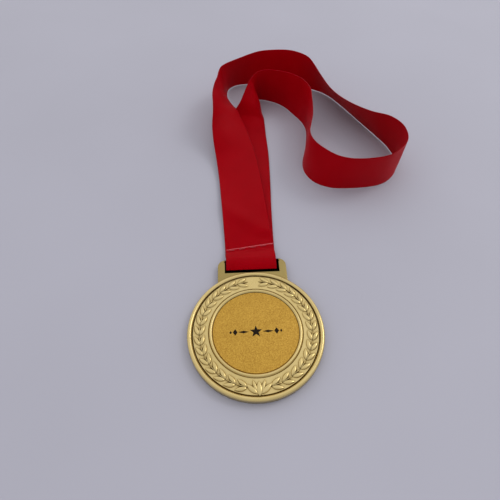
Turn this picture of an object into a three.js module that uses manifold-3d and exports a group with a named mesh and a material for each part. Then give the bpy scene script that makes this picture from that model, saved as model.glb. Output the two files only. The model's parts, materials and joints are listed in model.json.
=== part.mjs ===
// An award medal on a neck ribbon, lying on a table. Millimetres, +Z up, +Y from the medal toward
// the tab it hangs by. The origin is the middle of the medal's flat back.
// Pieces: the cast medal (rim, wreath, tab, slot and bar in one casting), the foil-faced centre
// disc and the adhesive under it, the ribbon (one length), and the thread that joins its two ends.
import * as THREE from "three";
import { mergeVertices } from "three/addons/utils/BufferGeometryUtils.js";
import Module from "manifold-3d";

const wasm = await Module();
wasm.setup();

// ---- driving dimensions, mm ----
const RIBBON_W = 26.2; // over its two woven edges
const RIBBON_T = 0.5;

const MEDAL_R = 31.75; // a 2.5 inch medal
const RIM_TOP = 4.5; // height of the rounded rim
const RIM_W = 2.1; // from the outside to the groove inside the rim
const RIM_EDGE = 0.8; // softening of the rim's outer corners
const FIELD_DROP = 0.9; // the field lies this far below the rim
const GROOVE_DEEP = 0.4; // the groove inside the rim, below the field
const WREATH_W = 7.85; // the field, from the groove to the ring round the disc
const RING_W = 1.6; // the raised ring round the centre disc
const RING_HIGH = 0.6;
const RING_ROUND = 0.7; // radius of the ring's crest
const RECESS_DEEP = 0.7; // the pocket the centre disc is glued into, below the field
const PAD_R = 22.3; // flat pad in the middle of the back
const BACK_BAND_Z = 0.7; // the back is hollowed between the pad and the rim
const BACK_RIM_W = 2.15;
const BACK_SLOPE = 0.5; // sloped sides of the hollow band
const GROOVE_SLOPE = 0.6; // sloped side of the groove
const ROUND_STEPS = 80; // sides of the turned pieces

const SLOT_CLEAR = 1.8; // slot length beyond the ribbon's width
const SLOT_H = 5.6; // slot opening, from the medal to the bar
const SLOT_OFF = 0.45; // metal left between the medal's edge and the slot
const LUG_W = 3.7; // metal beside the slot
const TAB_T = 2.2;
const TAB_CORNER = 4;
const TAB_ROOT_IN = 7.75; // how far the tab runs into the medal
const BAR_W = 2.4; // the bar the ribbon passes round
const BAR_ROUND = 0.8;
const BAR_LET_IN = 0.5; // how far each end of the bar runs into its lug
const CUT_PAST = 1; // cutters run past what they cut

const DISC_CLEAR = 0.2; // between the disc and the wall of its pocket
const DISC_T = 0.5;
const DISC_EDGE = 0.1; // the disc's die-cut upper edge is softened
const ADHESIVE_T = 0.13;
const ADHESIVE_IN = 0.6; // the film stops short of the disc's edge
const BOND_GAP = 0.02; // left between bonded faces so the solids stay apart

const LEAF_PAIRS = 14; // leaf groups on each branch of the wreath
const STEM_IN = 3.55; // from the groove to the middle of the stem
const STEM_START = 0.2; // radians either side of the bottom of the medal
const STEM_END = 3.03;
const LEAF_LONG = 2.6; // half length, half width and height of a leaf
const LEAF_HALF_W = 0.95;
const LEAF_HIGH = 0.62;
const LEAF_OUT = 1.25; // how far a leaf's middle sits from the stem
const LEAF_SPREAD = 0.42; // radians between a leaf and the stem
const BUD_OUT = 0.2; // the bud sits this far outside the stem's circle

const WRAP_X = -0.3; // the ribbon sits a little to one side in the slot
const WRAP_R = 1.75; // half height of the ribbon's slack turn round the bar
const LOOP_CLEAR = 0.6; // from the slack turn to the slot's lower edge
const WRAP_STEPS = 12;
const STEPS_PER_STATION = 2;
const ACROSS = 4; // cells across the ribbon

const THREAD_T = 0.36;
const STITCHES = 9; // needle holes along the seam
const HOLE = 0.8;
const SEAM_INSET = 1.5; // from the ribbon's edges to the first and last hole
const SEAM_LEFT_Y = 7.7; // the row of stitches, measured up from the bar
const SEAM_RIGHT_Y = 11;
const THREAD_LOW = 0.3; // middle heights of the runs under and over the ribbon
const THREAD_HIGH = 2.75;

// ---- sizes that follow ----
const FIELD_Z = RIM_TOP - FIELD_DROP;
const GROOVE_R = MEDAL_R - RIM_W;
const GROOVE_Z = FIELD_Z - GROOVE_DEEP;
const BACK_RIM_R = MEDAL_R - BACK_RIM_W;
const RING_OUT_R = GROOVE_R - WREATH_W;
const RECESS_R = RING_OUT_R - RING_W;
const RING_TOP_R = (RING_OUT_R + RECESS_R) / 2;
const RING_TOP = FIELD_Z + RING_HIGH;
const RECESS_Z = FIELD_Z - RECESS_DEEP;
const DISC_R = RECESS_R - DISC_CLEAR;
const STEM_R = GROOVE_R - STEM_IN;
const BUD_Y = -STEM_R - BUD_OUT;
const SLOT_W = RIBBON_W + SLOT_CLEAR;
const SLOT_Y0 = MEDAL_R + SLOT_OFF;
const TAB_W = SLOT_W + 2 * LUG_W;
const TAB_TOP_Y = SLOT_Y0 + SLOT_H + BAR_W;
const TAB_ROOT_Y = MEDAL_R - TAB_ROOT_IN;
const TAB_Z0 = (RIM_TOP - TAB_T) / 2;
const BAR_Y = TAB_TOP_Y - BAR_W / 2;
const BAR_Z = RIM_TOP / 2;
const WRAP_REACH = BAR_Y - SLOT_Y0 - RIBBON_T / 2 - LOOP_CLEAR;
const ROUTE_BAR_Y = 39.0; // the bar's place that the stations below are laid out from

// The ribbon's route as stations from its hidden end, up the top strand, round the neck loop and
// back down the bottom strand. Each is one edge x y z, the other edge x y z, then how far the
// middle of the ribbon bulges off the straight line between them, to one face or the other.
const ROUTE = [
  [12.6, 44.4, 1.55, -13.9, 43.2, 1.55, 0],
  [12.4, 52, 1.55, -14.1, 50.5, 1.55, 0],
  [11.9, 61, 1.8, -14.5, 59, 1.8, 0],
  [11.3, 72, 2.1, -15.1, 70, 2.2, 0],
  [10.2, 89.5, 2.2, -16.2, 87.5, 2.4, 0],
  [8.9, 108, 2.2, -17.5, 106, 2.6, 0],
  [6.8, 126, 3.2, -19.6, 124, 5.6, 0],
  [3.6, 141, 4.4, -21, 138.5, 13.5, 0.6],
  [0.4, 152, 6.6, -19, 147, 19.4, 2.6],
  [-1.8, 158, 8.2, -18.2, 153, 22.6, 3.2],
  [-4, 164.6, 10.1, -17.6, 159.3, 25.2, 3.4],
  [-6.4, 173, 7.6, -16.8, 168.5, 26, 3],
  [-9, 184, 4.2, -16.2, 178, 26.4, 2],
  [-10.8, 193, 2, -15.8, 186.5, 26.4, 0.8],
  [-11, 200, 1, -14.2, 193.6, 26.6, 0],
  [-10, 206.2, 0.6, -10, 199, 26.6, 0],
  [-7, 210.6, 0.4, -5, 203.2, 26.6, 0],
  [-2.4, 213.2, 0.4, 0.8, 207, 26.6, 0],
  [4, 214.4, 0.4, 6.6, 210.4, 26.6, 0],
  [16.5, 214, 0.4, 17.8, 215, 26.6, 0],
  [35, 212.4, 0.4, 36, 215.4, 26.6, 0],
  [45, 209.6, 0.4, 44, 211, 26.6, 0],
  [53, 206, 0.4, 50, 204.6, 26.6, 0],
  [61.5, 201, 0.4, 53.6, 196, 25.2, 0],
  [68.5, 193.5, 0.4, 56.4, 187, 23.4, 0],
  [77, 177.5, 0.4, 62.2, 169.5, 21.2, 0],
  [85, 160, 0.4, 71.2, 153, 21.6, 0],
  [93, 142.5, 0.4, 82.4, 138, 24, 0],
  [97.6, 130.5, 0.4, 92, 129, 26.2, 0],
  [99, 119, 0.4, 96.8, 118.4, 26.8, 0],
  [95.4, 106.4, 0.4, 95.4, 105.8, 27, 0],
  [88.5, 98.5, 0.4, 88.8, 97.6, 27, 0],
  [80.5, 94.6, 0.4, 80.6, 92, 26.6, 0],
  [61.5, 93, 0.4, 62, 90, 26.6, 0],
  [50.5, 94.5, 0.4, 52, 93, 26.6, 0],
  [42.4, 99.6, 0.4, 44.6, 100.4, 27, 0],
  [38, 107.5, 0.4, 40, 108.2, 27, 0],
  [37.4, 116, 0.4, 39, 116.6, 27, 0],
  [41.6, 133, 0.4, 43.2, 133.6, 27, 0],
  [44.4, 152, 0.4, 45.4, 152.8, 27, 0],
  [42.4, 162, 0.4, 46, 163.6, 26.8, 0],
  [37.8, 171, 0.4, 43, 173.8, 26.4, 0],
  [32.8, 180, 0.4, 35.4, 181.4, 27, 0],
  [26.5, 186.5, 0.4, 27, 185.2, 27, 0],
  [18.5, 190.8, 0.4, 17.2, 187.4, 26.8, 0],
  [14.2, 191.8, 0.4, 10.6, 185.2, 26, 0],
  [12, 189.6, 0.5, 6.6, 180.2, 24.8, 0.6],
  [12.2, 185.4, 0.5, 4.6, 176.4, 22.4, 2.6],
  [13, 180.4, 0.5, 2, 171.6, 18.2, 4.4],
  [13.8, 174.8, 0.5, -0.4, 167.6, 13.4, 5.4],
  [14.5, 169, 0.5, -3, 166, 8.6, 5.4],
  [15, 162.8, 0.5, -7.4, 163.6, 4.6, 4.4],
  [15.4, 156, 0.5, -9.6, 158, 2.2, 2.6],
  [15.7, 148, 0.5, -10.7, 149.4, 0.9, 0.8],
  [15.9, 138, 0.5, -10.6, 138, 0.5, 0],
  [16, 127, 0.5, -10.5, 127, 0.5, 0],
  [15, 100, 0.6, -11.5, 100, 0.6, 0],
  [13.8, 77, 0.8, -12.7, 77, 0.8, 0],
  [13.2, 60, 0.9, -13.3, 60, 0.9, 0],
  [13, 50, 0.9, -13.5, 48.5, 0.9, 0],
  [12.95, 44.6, 0.75, -13.55, 44.6, 0.75, 0],
  [12.95, 41.4, 0.54, -13.55, 41.4, 0.54, 0],
];
// The tongue that comes back over the bar and is stitched down on the strands.
const TONGUE = [
  [12.95, 41, 3.95, -13.55, 41, 3.95, 0],
  [12.9, 43.6, 3.3, -13.6, 43.2, 3.3, 0],
  [12.8, 47, 2.4, -13.7, 45.2, 2.6, 0],
  [12.7, 49.2, 2.2, -13.8, 46.2, 2.3, 0],
  [12.6, 51.2, 2.2, -13.9, 47.5, 2.2, 0],
];

const gold = new THREE.MeshStandardMaterial({ color: 0xd9c27e, roughness: 0.28, metalness: 1 });
const foil = new THREE.MeshStandardMaterial({ color: 0xc39a38, roughness: 0.45, metalness: 0.6 });
const glue = new THREE.MeshStandardMaterial({ color: 0xe8e4d8, roughness: 0.7, metalness: 0 });
const satin = new THREE.MeshStandardMaterial({ color: 0x8c0010, roughness: 0.5, metalness: 0 });
const thread = new THREE.MeshStandardMaterial({ color: 0xd98a90, roughness: 0.8, metalness: 0 });

// ---- helpers ----
function solid(geometry) {
  const bare = new THREE.BufferGeometry();
  bare.setAttribute("position", geometry.getAttribute("position"));
  if (geometry.index) bare.setIndex(geometry.index);
  const merged = mergeVertices(bare, 1e-4);
  const made = new wasm.Manifold(new wasm.Mesh({
    numProp: 3,
    vertProperties: new Float32Array(merged.attributes.position.array),
    triVerts: new Uint32Array(merged.index.array),
  }));
  return made;
}

function mesh(made, name, material) {
  const data = made.getMesh();
  const geometry = new THREE.BufferGeometry();
  const points = new Float32Array(data.vertProperties);
  geometry.setAttribute("position", new THREE.BufferAttribute(points, 3));
  geometry.setIndex(new THREE.BufferAttribute(new Uint32Array(data.triVerts), 1));
  const out = new THREE.Mesh(geometry.toNonIndexed(), material);
  out.geometry.computeVertexNormals();
  out.name = name;
  return out;
}

// A turned solid about Z from an [r, z] profile that starts and ends on the axis.
function turned(profile, segments) {
  const points = profile.map(([r, z]) => new THREE.Vector2(r, z));
  return solid(new THREE.LatheGeometry(points, segments).rotateX(Math.PI / 2));
}

// Points on a quarter-round or longer arc in the [r, z] plane, angles in degrees.
function arc(r, z, radius, from, to, steps) {
  const points = [];
  for (let i = 0; i <= steps; i += 1) {
    const a = THREE.MathUtils.degToRad(from + ((to - from) * i) / steps);
    points.push([r + radius * Math.cos(a), z + radius * Math.sin(a)]);
  }
  return points;
}

function box(x0, x1, y0, y1, z0, z1) {
  const g = new THREE.BoxGeometry(x1 - x0, y1 - y0, z1 - z0);
  return solid(g.translate((x0 + x1) / 2, (y0 + y1) / 2, (z0 + z1) / 2));
}

// ---- the casting ----
// The medal body: flat back pad, hollowed back band, rounded rim, groove, field, ring, pocket.
function medalBody() {
  const rimIn = (MEDAL_R + GROOVE_R) / 2;
  const rimRound = MEDAL_R - rimIn;
  const profile = [
    [0, 0],
    [PAD_R, 0],
    [PAD_R + BACK_SLOPE, BACK_BAND_Z],
    [BACK_RIM_R - BACK_SLOPE, BACK_BAND_Z],
    [BACK_RIM_R, 0],
    ...arc(MEDAL_R - RIM_EDGE, RIM_EDGE, RIM_EDGE, -90, 0, 2),
    ...arc(rimIn, RIM_TOP - rimRound, rimRound, 0, 150, 6),
    [GROOVE_R, GROOVE_Z],
    [GROOVE_R - GROOVE_SLOPE, FIELD_Z],
    [RING_OUT_R, FIELD_Z],
    ...arc(RING_TOP_R, RING_TOP - RING_ROUND, RING_ROUND, 45, 135, 3),
    [RECESS_R, FIELD_Z],
    [RECESS_R, RECESS_Z],
    [0, RECESS_Z],
  ];
  return turned(profile, ROUND_STEPS);
}

// The tab plate with its two upper corners rounded, open where the slot is, and the bar across.
function tab() {
  const half = TAB_W / 2;
  const outline = new THREE.Shape();
  outline.moveTo(-half, TAB_ROOT_Y);
  outline.lineTo(half, TAB_ROOT_Y);
  outline.lineTo(half, TAB_TOP_Y - TAB_CORNER);
  outline.absarc(half - TAB_CORNER, TAB_TOP_Y - TAB_CORNER, TAB_CORNER, 0, Math.PI / 2, false);
  outline.lineTo(TAB_CORNER - half, TAB_TOP_Y);
  outline.absarc(TAB_CORNER - half, TAB_TOP_Y - TAB_CORNER, TAB_CORNER, Math.PI / 2, Math.PI, false);
  const options = { depth: TAB_T, bevelEnabled: false, curveSegments: 8 };
  const plate = solid(new THREE.ExtrudeGeometry(outline, options).translate(0, 0, TAB_Z0));
  const opening = box(-SLOT_W / 2, SLOT_W / 2, SLOT_Y0, TAB_TOP_Y + CUT_PAST,
    TAB_Z0 - CUT_PAST, TAB_Z0 + TAB_T + CUT_PAST);
  return plate.subtract(opening).add(bar());
}

// The bar, a rounded rectangle in section, let into the lugs at each end.
function bar() {
  const across = BAR_W / 2 - BAR_ROUND;
  const up = TAB_T / 2 - BAR_ROUND;
  const section = new THREE.Shape();
  section.absarc(across, up, BAR_ROUND, 0, Math.PI / 2, false);
  section.absarc(-across, up, BAR_ROUND, Math.PI / 2, Math.PI, false);
  section.absarc(-across, -up, BAR_ROUND, Math.PI, 1.5 * Math.PI, false);
  section.absarc(across, -up, BAR_ROUND, 1.5 * Math.PI, 2 * Math.PI, false);
  const length = SLOT_W + 2 * BAR_LET_IN;
  const options = { depth: length, bevelEnabled: false, curveSegments: 5 };
  const g = new THREE.ExtrudeGeometry(section, options).translate(0, 0, -length / 2);
  g.rotateY(Math.PI / 2);
  g.rotateX(Math.PI / 2);
  return solid(g.translate(0, BAR_Y, BAR_Z));
}

// One leaf: an oval mound half sunk in the field, its long axis turned to a heading in radians.
function leaf(x, y, heading, long, wide, high) {
  const g = new THREE.SphereGeometry(1, 6, 4).rotateX(Math.PI / 2).scale(long, wide, high);
  return solid(g.rotateZ(heading).translate(x, y, FIELD_Z - 0.05));
}

// The wreath: two branches of paired leaves that rise from a three-part bud at the bottom.
function wreath() {
  const leaves = [leaf(0, BUD_Y, Math.PI / 2, 3.2, 1.3, 0.75)];
  for (const side of [-1, 1]) {
    leaves.push(leaf(side * 3.4, BUD_Y - 0.2, Math.PI / 2 - side * 0.95, 3.3, 1.1, 0.7));
    for (let i = 0; i < LEAF_PAIRS; i += 1) {
      const t = STEM_START + ((STEM_END - STEM_START) * (i + 0.5)) / LEAF_PAIRS;
      const angle = -Math.PI / 2 + side * t;
      const along = angle + (side * Math.PI) / 2;
      for (const edge of [-1, 1]) {
        const r = STEM_R + edge * LEAF_OUT;
        const heading = along - side * edge * LEAF_SPREAD;
        const [x, y] = [r * Math.cos(angle), r * Math.sin(angle)];
        leaves.push(leaf(x, y, heading, LEAF_LONG, LEAF_HALF_W, LEAF_HIGH));
      }
    }
  }
  return leaves;
}

function medalCasting() {
  const made = wreath().reduce((sum, one) => sum.add(one), medalBody().add(tab()));
  return mesh(made, "medal_casting", gold);
}

// ---- the centre insert ----
function discAdhesive() {
  const z = RECESS_Z + BOND_GAP;
  const r = DISC_R - ADHESIVE_IN;
  const made = turned([[0, z], [r, z], [r, z + ADHESIVE_T], [0, z + ADHESIVE_T]], ROUND_STEPS);
  return mesh(made, "disc_adhesive", glue);
}

function centreDisc() {
  const z = RECESS_Z + ADHESIVE_T + 2 * BOND_GAP;
  const top = z + DISC_T;
  const section = [[0, z], [DISC_R, z], [DISC_R, top - DISC_EDGE], [DISC_R - DISC_EDGE, top], [0, top]];
  const made = turned(section, ROUND_STEPS);
  return mesh(made, "centre_disc", foil);
}

// ---- the ribbon ----
// Two smooth curves through the stations' edges, with the bulge carried along between them.
function rows(stations) {
  const edge = (k) => new THREE.CatmullRomCurve3(
    stations.map((s) => new THREE.Vector3(s[k], s[k + 1] + BAR_Y - ROUTE_BAR_Y, s[k + 2])),
    false, "centripetal");
  const right = edge(0);
  const left = edge(3);
  const bulge = new THREE.CatmullRomCurve3(
    stations.map((s, i) => new THREE.Vector3(i, s[6], 0)), false, "centripetal");
  const count = (stations.length - 1) * STEPS_PER_STATION;
  const out = [];
  for (let i = 0; i <= count; i += 1) {
    const t = i / count;
    out.push({ a: right.getPoint(t), b: left.getPoint(t), bulge: bulge.getPoint(t).y });
  }
  return out;
}

// The slack half turn round the bar, from under it, forward through the slot and over it.
function wrapRows() {
  const out = [];
  for (let i = 0; i <= WRAP_STEPS; i += 1) {
    const turn = -Math.PI / 2 - (Math.PI * i) / WRAP_STEPS;
    const y = BAR_Y + WRAP_REACH * Math.cos(turn);
    const z = BAR_Z + WRAP_R * Math.sin(turn);
    const right = new THREE.Vector3(WRAP_X + RIBBON_W / 2, y, z);
    out.push({ a: right, b: new THREE.Vector3(WRAP_X - RIBBON_W / 2, y, z), bulge: 0 });
  }
  return out;
}

// The ribbon's width is kept by shortening the straight line across it where it bulges. Where it
// lies flat it is centred on its stations, and where it stands on edge it stands on its lower edge.
function acrossRow(row, travel) {
  const lean = row.b.clone().sub(row.a).normalize();
  const root = Math.sqrt(Math.max(0, RIBBON_W ** 2 - (32 * row.bulge ** 2) / 3));
  const chord = (RIBBON_W + root) / 2;
  const up = new THREE.Vector3().crossVectors(lean, travel).normalize();
  const from = ((row.a.distanceTo(row.b) - chord) / 2) * (1 - Math.abs(lean.z));
  const points = [];
  for (let j = 0; j <= ACROSS; j += 1) {
    const u = j / ACROSS;
    const p = row.a.clone().addScaledVector(lean, from + chord * u);
    points.push(p.addScaledVector(up, 4 * row.bulge * u * (1 - u)));
  }
  return points;
}

function ribbonGrid() {
  const all = [...rows(ROUTE), ...wrapRows(), ...rows(TONGUE)];
  return all.map((row, i) => {
    const before = all[Math.max(0, i - 1)];
    const after = all[Math.min(all.length - 1, i + 1)];
    const travel = after.a.clone().add(after.b).sub(before.a).sub(before.b);
    return acrossRow(row, travel);
  });
}

// A closed solid: the grid thickened half each way along its own normals.
function thickened(grid) {
  const lines = grid.length;
  const points = [];
  const faces = [];
  const at = (i, j, side) => (i * (ACROSS + 1) + j) * 2 + side;
  for (let i = 0; i < lines; i += 1) {
    for (let j = 0; j <= ACROSS; j += 1) {
      const along = grid[Math.min(lines - 1, i + 1)][j].clone().sub(grid[Math.max(0, i - 1)][j]);
      const over = grid[i][Math.min(ACROSS, j + 1)].clone().sub(grid[i][Math.max(0, j - 1)]);
      const normal = new THREE.Vector3().crossVectors(over, along).setLength(RIBBON_T / 2);
      points.push(...grid[i][j].clone().add(normal).toArray());
      points.push(...grid[i][j].clone().sub(normal).toArray());
    }
  }
  const quad = (a, b, c, d) => faces.push(a, b, c, a, c, d);
  for (let i = 0; i + 1 < lines; i += 1) {
    for (let j = 0; j < ACROSS; j += 1) {
      quad(at(i, j, 0), at(i, j + 1, 0), at(i + 1, j + 1, 0), at(i + 1, j, 0));
      quad(at(i, j, 1), at(i + 1, j, 1), at(i + 1, j + 1, 1), at(i, j + 1, 1));
    }
    quad(at(i, 0, 0), at(i + 1, 0, 0), at(i + 1, 0, 1), at(i, 0, 1));
    quad(at(i, ACROSS, 0), at(i, ACROSS, 1), at(i + 1, ACROSS, 1), at(i + 1, ACROSS, 0));
  }
  const last = lines - 1;
  for (let j = 0; j < ACROSS; j += 1) {
    quad(at(0, j, 0), at(0, j, 1), at(0, j + 1, 1), at(0, j + 1, 0));
    quad(at(last, j, 0), at(last, j + 1, 0), at(last, j + 1, 1), at(last, j, 1));
  }
  const geometry = new THREE.BufferGeometry();
  geometry.setAttribute("position", new THREE.Float32BufferAttribute(points, 3));
  return solid(geometry.setIndex(faces));
}

// Where the needle went through, in turn from the left end of the seam.
function needleHoles() {
  const holes = [];
  const reach = RIBBON_W / 2 - SEAM_INSET;
  for (let i = 0; i < STITCHES; i += 1) {
    const t = i / (STITCHES - 1);
    const x = WRAP_X + reach * (2 * t - 1);
    const y = BAR_Y + SEAM_LEFT_Y + (SEAM_RIGHT_Y - SEAM_LEFT_Y) * t;
    holes.push([x, y]);
  }
  return holes;
}

function neckRibbon() {
  const half = HOLE / 2;
  const cut = (sum, [x, y]) => sum.subtract(box(x - half, x + half, y - half, y + half, -1, 4));
  return mesh(needleHoles().reduce(cut, thickened(ribbonGrid())), "neck_ribbon", satin);
}

// ---- the thread ----
// A running stitch: down through each hole, alternately under and over the three layers.
function seamStitching() {
  const holes = needleHoles();
  const half = THREAD_T / 2;
  const slope = Math.atan2(SEAM_RIGHT_Y - SEAM_LEFT_Y, RIBBON_W - 2 * SEAM_INSET);
  const parts = holes.map(([x, y]) => {
    const post = new THREE.BoxGeometry(THREAD_T, THREAD_T, THREAD_HIGH - THREAD_LOW + THREAD_T);
    return solid(post.rotateZ(slope).translate(x, y, (THREAD_HIGH + THREAD_LOW) / 2));
  });
  for (let i = 0; i + 1 < holes.length; i += 1) {
    const [x0, y0] = holes[i];
    const [x1, y1] = holes[i + 1];
    const run = new THREE.BoxGeometry(Math.hypot(x1 - x0, y1 - y0) + half, THREAD_T, THREAD_T);
    const z = i % 2 ? THREAD_LOW : THREAD_HIGH;
    parts.push(solid(run.rotateZ(slope).translate((x0 + x1) / 2, (y0 + y1) / 2, z)));
  }
  return mesh(parts.reduce((sum, one) => sum.add(one)), "seam_stitching", thread);
}

const medal = new THREE.Group();
medal.name = "award_medal_on_ribbon";
medal.add(medalCasting(), centreDisc(), discAdhesive(), neckRibbon(), seamStitching());

export default medal;
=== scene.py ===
# %% [markdown]
# # An award medal on a neck ribbon
# A cast, gold plated medal lies on a table. Its ribbon is one length of red satin, folded round the bar
# in the tab and sewn back on itself. The loop behind it lies loose, partly flat and partly on edge.
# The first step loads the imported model. It fixes every size and place, so that the pieces made here only
# add surface: no piece is moved or fitted afterwards.

# %% Load the frame
import json
import math

import bmesh
import bpy
import numpy as np
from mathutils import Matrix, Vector


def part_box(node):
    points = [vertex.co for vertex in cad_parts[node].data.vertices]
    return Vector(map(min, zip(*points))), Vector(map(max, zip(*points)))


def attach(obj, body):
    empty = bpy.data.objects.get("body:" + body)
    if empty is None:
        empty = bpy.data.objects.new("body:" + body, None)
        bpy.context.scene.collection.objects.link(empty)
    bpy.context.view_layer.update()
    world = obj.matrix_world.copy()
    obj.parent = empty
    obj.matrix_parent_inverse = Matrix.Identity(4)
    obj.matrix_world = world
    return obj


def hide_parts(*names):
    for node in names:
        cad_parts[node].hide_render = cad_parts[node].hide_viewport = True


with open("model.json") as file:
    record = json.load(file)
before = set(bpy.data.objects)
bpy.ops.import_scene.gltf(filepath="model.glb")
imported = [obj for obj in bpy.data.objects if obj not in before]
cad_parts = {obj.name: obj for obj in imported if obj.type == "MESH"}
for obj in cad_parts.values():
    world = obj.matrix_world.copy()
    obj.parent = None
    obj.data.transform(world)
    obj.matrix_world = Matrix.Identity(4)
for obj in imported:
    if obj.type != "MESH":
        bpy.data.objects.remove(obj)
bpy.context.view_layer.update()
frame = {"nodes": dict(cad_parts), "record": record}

MM = 0.001  # one millimetre in Blender's metres
cast_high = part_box("medal_casting")[1]
disc_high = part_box("centre_disc")[1]
MEDAL_R = cast_high.x
RIM_TOP = cast_high.z
TAB_TOP_Y = cast_high.y
HINGE = frame["record"]["behaviour"]["joints"][0]["pos_m"]  # the middle of the bar
print("medal across", round(2 * MEDAL_R / MM, 2), "mm, rim", round(RIM_TOP / MM, 2), "mm high")

# %% [markdown]
# The camera comes first, because the scale of every pattern is judged through it. It stands close over
# the medal and looks down steeply, so the medal is drawn large and the ribbon falls away from it. A
# short lens close up gives that strong perspective; a long lens far off would flatten it.

# %% Camera
CAMERA_AT = (-6.23 * MM, -72.37 * MM, 165.58 * MM)
LOOK_DOWN = 53.784  # degrees below the horizon
LOOK_RIGHT = 2.763  # degrees to the right of +Y
bpy.ops.object.select_all(action="DESELECT")
turn = (math.radians(90 - LOOK_DOWN), 0, math.radians(-LOOK_RIGHT))
bpy.ops.object.camera_add(location=CAMERA_AT, rotation=turn)
camera = bpy.context.object
camera.data.sensor_width = 36
camera.data.lens = 27
camera.data.clip_start = 0.005
bpy.context.scene.camera = camera
bpy.context.scene.view_settings.view_transform = "Standard"
print("camera", [round(x / MM, 1) for x in camera.location], "mm")

# %% [markdown]
# A material here is a small network of nodes. One function adds a node, sets it and joins its inputs,
# so each recipe further down reads like a list. Colours are written as they look on a screen (sRGB hex)
# and one function turns them into the linear light that Blender computes with.

# %% Helpers for materials
BAND = 0.314  # a wave texture of scale 1 repeats after this many metres


def colour(text):
    """A screen colour such as "8C0010" as linear red, green, blue and alpha."""
    parts = [int(text[i:i + 2], 16) / 255 for i in (0, 2, 4)]
    linear = [c / 12.92 if c <= 0.04045 else ((c + 0.055) / 1.055) ** 2.4 for c in parts]
    return (*linear, 1.0)


def add(tree, kind, inputs, **settings):
    """Adds a shader node; an input is a number, a colour or another node's output to join."""
    made = tree.nodes.new("ShaderNode" + kind)
    for name, value in settings.items():
        setattr(made, name, value)
    for socket, value in inputs.items():
        if isinstance(value, bpy.types.NodeSocket):
            tree.links.new(value, made.inputs[socket])
        else:
            made.inputs[socket].default_value = value
    return made


def new_material(name):
    """An empty node tree; the recipes fill it and end it with finish_material."""
    made = bpy.data.materials.new(name)
    made.use_nodes = True
    made.node_tree.nodes.clear()
    return made, made.node_tree


def finish_material(tree, inputs):
    """The surface shader that every recipe ends in."""
    shader = add(tree, "BsdfPrincipled", inputs)
    add(tree, "OutputMaterial", {"Surface": shader.outputs[0]})


def mixed(tree, factor, low, high):
    """A colour between two, by a factor from 0 to 1."""
    return add(tree, "Mix", {0: factor, 6: low, 7: high}, data_type="RGBA").outputs[2]


# %% [markdown]
# The casting is zinc alloy with a bright gold plating. Plating copies the metal under it: polished where
# a buffing wheel reaches and a little satin in the field. The corners of the relief are painted dark, a
# painted shade found by how much of the sky they see. A metal has no colour of its own but its reflection,
# so the base colour is the pale yellow of the plating. The tab is drawn browner and darker, and the casting
# darkens below the field, most at the side wall's foot: a painted shade where it nears the table.

# %% Gold plate
TAB_TONE = (0.2 * MM, 0.6 * MM)  # the tab turns browner over this stretch outside the round edge
TAB_CEILING = (3.5 * MM, 4.0 * MM)  # the tab ends below these heights and the rim goes above them
# The next heights bound a painted shade on the side wall.
WALL_SHADE_HEIGHTS = (1.8 * MM, 3.6 * MM)  # the side wall turns brighter between these heights


def gold_plate():
    made, tree = new_material("polished_gold_plate_on_zinc_casting")
    place = add(tree, "TexCoord", {}).outputs["Object"]
    patches = add(tree, "TexNoise", {"Vector": place, "Scale": 1 / (7 * MM), "Detail": 3.0})
    grain = add(tree, "TexNoise", {"Vector": place, "Scale": 1 / (0.35 * MM), "Detail": 2.0})
    # Painted shade: the corners of the relief are darkened by how little sky they see.
    open_sky = add(tree, "AmbientOcclusion", {"Distance": 1.1 * MM}, samples=8)
    corner = add(tree, "MapRange", {0: open_sky.outputs["AO"], 1: 0.52, 2: 0.94, 3: 0.0, 4: 1.0})
    warm = mixed(tree, patches.outputs["Fac"], colour("CDB574"), colour("DCC68A"))
    high = add(tree, "SeparateXYZ", {0: place}).outputs[2]
    away = add(tree, "VectorMath", {0: place}, operation="LENGTH").outputs[1]
    # The tab is drawn browner and darker, found by its distance from the middle and its height.
    out = add(tree, "MapRange", {
        0: away, 1: MEDAL_R + TAB_TONE[0], 2: MEDAL_R + TAB_TONE[1], 3: 0.0, 4: 0.7})
    low = add(tree, "MapRange", {0: high, 1: TAB_CEILING[0], 2: TAB_CEILING[1], 3: 1.0, 4: 0.0})
    on_tab = add(tree, "Math", {0: out.outputs[0], 1: low.outputs[0]}, operation="MULTIPLY")
    # Painted shade: the casting darkens the lower it lies below the field, most at the side wall's foot on
    # the table.
    shade_at_wall_foot = add(tree, "MapRange", {0: high, 1: WALL_SHADE_HEIGHTS[0], 2: WALL_SHADE_HEIGHTS[1], 3: 0.7, 4: 0.0})
    tab_tone_and_wall_shade = add(tree, "Math", {0: on_tab.outputs[0], 1: shade_at_wall_foot.outputs[0]}, operation="MAXIMUM")
    # The brown mixed in here is the tab's tone and, below the field, painted shade.
    toned_tab_shaded_wall = mixed(tree, tab_tone_and_wall_shade.outputs[0], warm, colour("7E6C38"))
    # The dark brown mixed in here is the painted shade in the corners.
    tone = mixed(tree, corner.outputs[0], colour("6B4E12"), toned_tab_shaded_wall)
    worn = add(tree, "MapRange", {0: patches.outputs["Fac"], 1: 0.3, 2: 0.7, 3: 0.23, 4: 0.36})
    relief = add(tree, "Bump", {"Height": grain.outputs["Fac"], "Strength": 0.22, "Distance": 0.02 * MM})
    finish_material(tree, {
        "Base Color": tone, "Metallic": 1.0, "Roughness": worn.outputs[0],
        "Normal": relief.outputs[0]})
    return made


# %% [markdown]
# The centre disc is card faced with a glitter foil: thousands of tiny flakes, each tilted its own way.
# A Voronoi texture cuts the surface into cells, and each cell's random colour tilts the normal and
# changes the tone. Real flakes are 0.1 mm; they are drawn 0.3 mm so that they show.

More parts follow.
